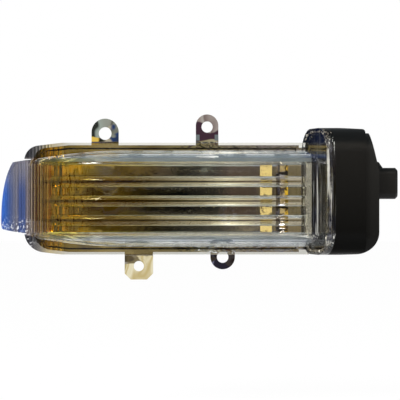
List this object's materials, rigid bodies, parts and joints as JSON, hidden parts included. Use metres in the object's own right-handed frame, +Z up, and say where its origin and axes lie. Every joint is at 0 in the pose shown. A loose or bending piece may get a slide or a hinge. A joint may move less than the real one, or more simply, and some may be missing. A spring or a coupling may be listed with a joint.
{
  "type": "led turn signal lamp",
  "caption": "Mirror turn signal lamp: clear wrap-round lens over light bars in a bright housing with screw ears, closed by a black end box with a plug socket.",
  "frame": {"origin": "centre of the outer upper ear's screw hole, in the ears' front face", "axes": "+X along the lamp from the wrap-round tip to the connector, +Z up, -Y the side that shines"},
  "size_m": [0.1708, 0.0486, 0.071],
  "materials": {
    "clear_lens": "clear polished acrylic",
    "clear_guide": "clear polished polycarbonate",
    "bright_coat": "vacuum-metallised plastic, uncoated dark grey behind",
    "black_plastic": "black moulded plastic, satin",
    "black_cover": "black moulded plastic, satin",
    "soft_seal": "soft silicone",
    "board": "green solder mask",
    "soft_pad": "soft grey pad",
    "heat_sink": "extruded aluminium",
    "screw_steel": "zinc plated steel",
    "package_black": "moulded package",
    "package_tan": "ceramic body",
    "led_package": "amber phosphor window in a white frame",
    "terminal_brass": "tinned brass",
    "vent_film": "porous white film"
  },
  "bodies": {
    "root": {"outer_lens": "clear_lens", "light_guide": "clear_guide", "housing": "bright_coat", "end_housing": "black_plastic", "socket_cover": "black_cover", "cover_gasket": "soft_seal", "circuit_board": "board", "thermal_pad": "soft_pad", "heat_sink": "heat_sink", "board_screws": "screw_steel", "driver_chip": "package_black", "protection_diode": "package_black", "input_capacitor": "package_tan", "resistors": "package_black", "led_lower": "led_package", "led_middle": "led_package", "led_upper": "led_package", "terminal_power": "terminal_brass", "terminal_ground": "terminal_brass", "vent_cap": "black_plastic", "vent_membrane": "vent_film"}
  },
  "joints": []
}
